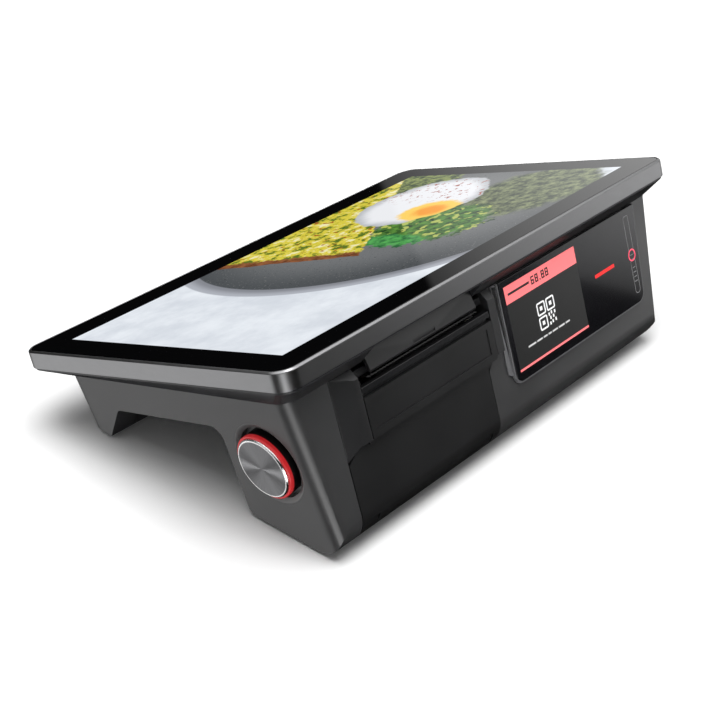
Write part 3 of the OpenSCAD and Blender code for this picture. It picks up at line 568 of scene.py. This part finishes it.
green = moulded("board_green", (0.02, 0.10, 0.05), 0.35)
for node in ("main_board", "port_board", "button_board"):
    refined(node, "terminal", green, 0.0, 30)
refined("heat_sink", "terminal", metal("heat_sink_metal", (0.55, 0.56, 0.57), 0.4), 0.0, 30)
black_socket = moulded("socket_black", (0.015, 0.015, 0.015), 0.3)
for node in ("power_inlet", "drawer_socket", "audio_socket", "speaker"):
    refined(node, "terminal", black_socket, 0.0, 30)
refined("bottom_cover", "terminal", dark_plastic, 0.0003, 30)
panel = moulded("screen_panel", (0.03, 0.03, 0.032), 0.5)
for node in ("display_panel", "customer_panel"):
    refined(node, "terminal", panel, 0.0, 30)
refined("nfc_coil", "terminal", metal("copper", (0.7, 0.33, 0.16), 0.3), 0.0, 30)
refined("ribbon_cables", "terminal", moulded("film", (0.45, 0.18, 0.04), 0.3), 0.0, 30)

# ---- Table, light and camera -------------------------------------------------------------------------
# A white table under a broad soft lamp. The room has a dark side behind the operator and pale panels on
# the other sides; only the gloss sees them, as the table lets gloss through to the room.

bpy.context.scene.view_settings.view_transform = "Standard"

TABLE_R = 6.0
# The table glows with distance, from none to the most between these two, in metres, so that it stays white
GLOW_FROM, GLOW_TO, GLOW_MOST = 0.45, 1.6, 0.85


def white_table():
    s = Shader(bpy.data.materials.new("table"))
    grain = s.noise(s.coords(scale=MM), 0.05, 2.0)
    far = s.vector("LENGTH", s.coords(), out="Value")
    surface = s.principled(Base_Color=s.mix(grain, (0.90, 0.90, 0.90), (0.92, 0.92, 0.92)), Roughness=0.6,
                           Specular_IOR_Level=0.0, Emission_Color=(1, 1, 1, 1),
                           Emission_Strength=s.math("MULTIPLY", s.step(far, GLOW_FROM, GLOW_TO), GLOW_MOST))
    choice = s.node("ShaderNodeMixShader")
    s.put(choice.inputs[0], s.node("ShaderNodeLightPath").outputs["Is Glossy Ray"])
    s.put(choice.inputs[1], surface.outputs[0])
    s.put(choice.inputs[2], s.node("ShaderNodeBsdfTransparent").outputs[0])
    s.put(s.out.inputs[0], choice.outputs[0])
    return s.owner


bm = bmesh.new()
bmesh.ops.create_circle(bm, cap_ends=True, segments=96, radius=TABLE_R)
table_top = bpy.data.meshes.new("table")
bm.to_mesh(table_top)
bm.free()
table_top.materials.append(white_table())
table = bpy.data.objects.new("table", table_top)
bpy.context.scene.collection.objects.link(table)

LAMP_AT = Vector((0.1, 0.15, 1.5))
LAMP_AIM = Vector((0.02, 0.02, 0))
LAMP_SIDE = 1.3
LAMP_WATTS = 34
lamp_data = bpy.data.lights.new("overhead", "AREA")
lamp_data.shape = "RECTANGLE"
lamp_data.size, lamp_data.size_y = LAMP_SIDE, LAMP_SIDE
lamp_data.energy = LAMP_WATTS
overhead = bpy.data.objects.new("overhead", lamp_data)
overhead.location = LAMP_AT
overhead.rotation_euler = (LAMP_AIM - LAMP_AT).to_track_quat("-Z", "Y").to_euler()
overhead.visible_glossy = False
bpy.context.scene.collection.objects.link(overhead)

# Azimuth from +Y, elevation, radius of the bright middle, radius of the outer edge, in degrees, and strength
ROOM_PANELS = ((140, -31, 8, 34, 1.2), (46, -28, 8, 22, 6.0), (0, 84, 4, 16, 8.0))
# Strength of the plain light, and what the camera sees on top of it
PLAIN_LIGHT, SEEN_MORE = 0.28, 0.7


def room():
    """Plain light for everything, and pale panels in a dark room for the gloss."""
    s = Shader(bpy.data.worlds.new("room"), "ShaderNodeOutputWorld")
    way = s.node("ShaderNodeTexCoord").outputs["Generated"]
    x, y, z = s.split(way)
    turn = s.math("MULTIPLY", s.math("ARCTAN2", x, y), 180 / math.pi)
    rise = s.math("MULTIPLY", s.math("ARCSINE", z), 180 / math.pi)

    def panel(azimuth, elevation, inner, outer, level):
        a, e = math.radians(azimuth), math.radians(elevation)
        middle = (math.sin(a) * math.cos(e), math.cos(a) * math.cos(e), math.sin(e))
        near = s.vector("DOT_PRODUCT", way, middle, "Value")
        rim, bright = math.cos(math.radians(outer)), math.cos(math.radians(inner))
        return s.math("MULTIPLY", s.step(near, rim, bright), level)

    def within(angle, middle, outer, inner):
        return s.step(s.math("ABSOLUTE", s.math("ADD", angle, -middle)), outer, inner)

    total = s.math("MULTIPLY_ADD", s.step(z, 0.35, 0.8), 1.9, 0.004)
    for spot in ROOM_PANELS:
        total = s.math("ADD", total, panel(*spot))
    # The panel behind the far end of the display starts at an upright edge and brightens away from it
    wing = s.math("MULTIPLY_ADD", s.step(turn, -135, -124, False), 0.8, 0.2)
    wing = s.math("MULTIPLY", wing, s.step(turn, -135.5, -135.1))
    wing = s.math("MULTIPLY", wing, within(turn, -112, 30, 20))
    total = s.math("ADD", total, s.math("MULTIPLY", wing, within(rise, 0, 30, 12)))
    # The one on the customer's side has a slanting lower edge, which passes through this turn and rise
    slant, edge_turn, edge_rise = 0.86, -48.6, -4.5
    over = s.math("ADD", rise, s.math("MULTIPLY_ADD", turn, -slant, slant * edge_turn - edge_rise))
    brighter = s.math("MULTIPLY_ADD", s.step(over, 0, 5, False), 1.1, 0.4)
    sheet = s.math("MULTIPLY", s.step(over, -0.3, 0.3), brighter)
    sheet = s.math("MULTIPLY", sheet, within(turn, -56, 24, 14))
    total = s.math("ADD", total, s.math("MULTIPLY", sheet, within(rise, 0, 22, 12)))

    path = s.node("ShaderNodeLightPath")
    choice = s.node("ShaderNodeMixShader")
    s.put(choice.inputs[0], path.outputs["Is Glossy Ray"])
    plain = s.math("MULTIPLY_ADD", path.outputs["Is Camera Ray"], SEEN_MORE, PLAIN_LIGHT)
    for socket, strength in ((choice.inputs[1], plain), (choice.inputs[2], total)):
        light = s.node("ShaderNodeBackground")
        light.inputs["Color"].default_value = (1, 1, 1, 1)
        s.put(light.inputs["Strength"], strength)
        s.put(socket, light.outputs[0])
    s.put(s.out.inputs[0], choice.outputs[0])
    bpy.context.scene.world = s.owner


room()

TARGET = Vector((0.02716, 0.01296, 0.02973))
AZIMUTH, ELEVATION = math.radians(131.089), math.radians(30.475)
DISTANCE = 0.70405
level_out = math.cos(ELEVATION)
back = Vector((math.sin(AZIMUTH) * level_out, -math.cos(AZIMUTH) * level_out, math.sin(ELEVATION)))
camera_data = bpy.data.cameras.new("camera")
camera_data.sensor_width = 36.0
camera_data.lens = 72.99
camera_data.clip_start = 0.01
camera = bpy.data.objects.new("camera", camera_data)
camera.location = TARGET + DISTANCE * back
camera.rotation_euler = back.to_track_quat("Z", "Y").to_euler()
bpy.context.scene.collection.objects.link(camera)
bpy.context.scene.camera = camera
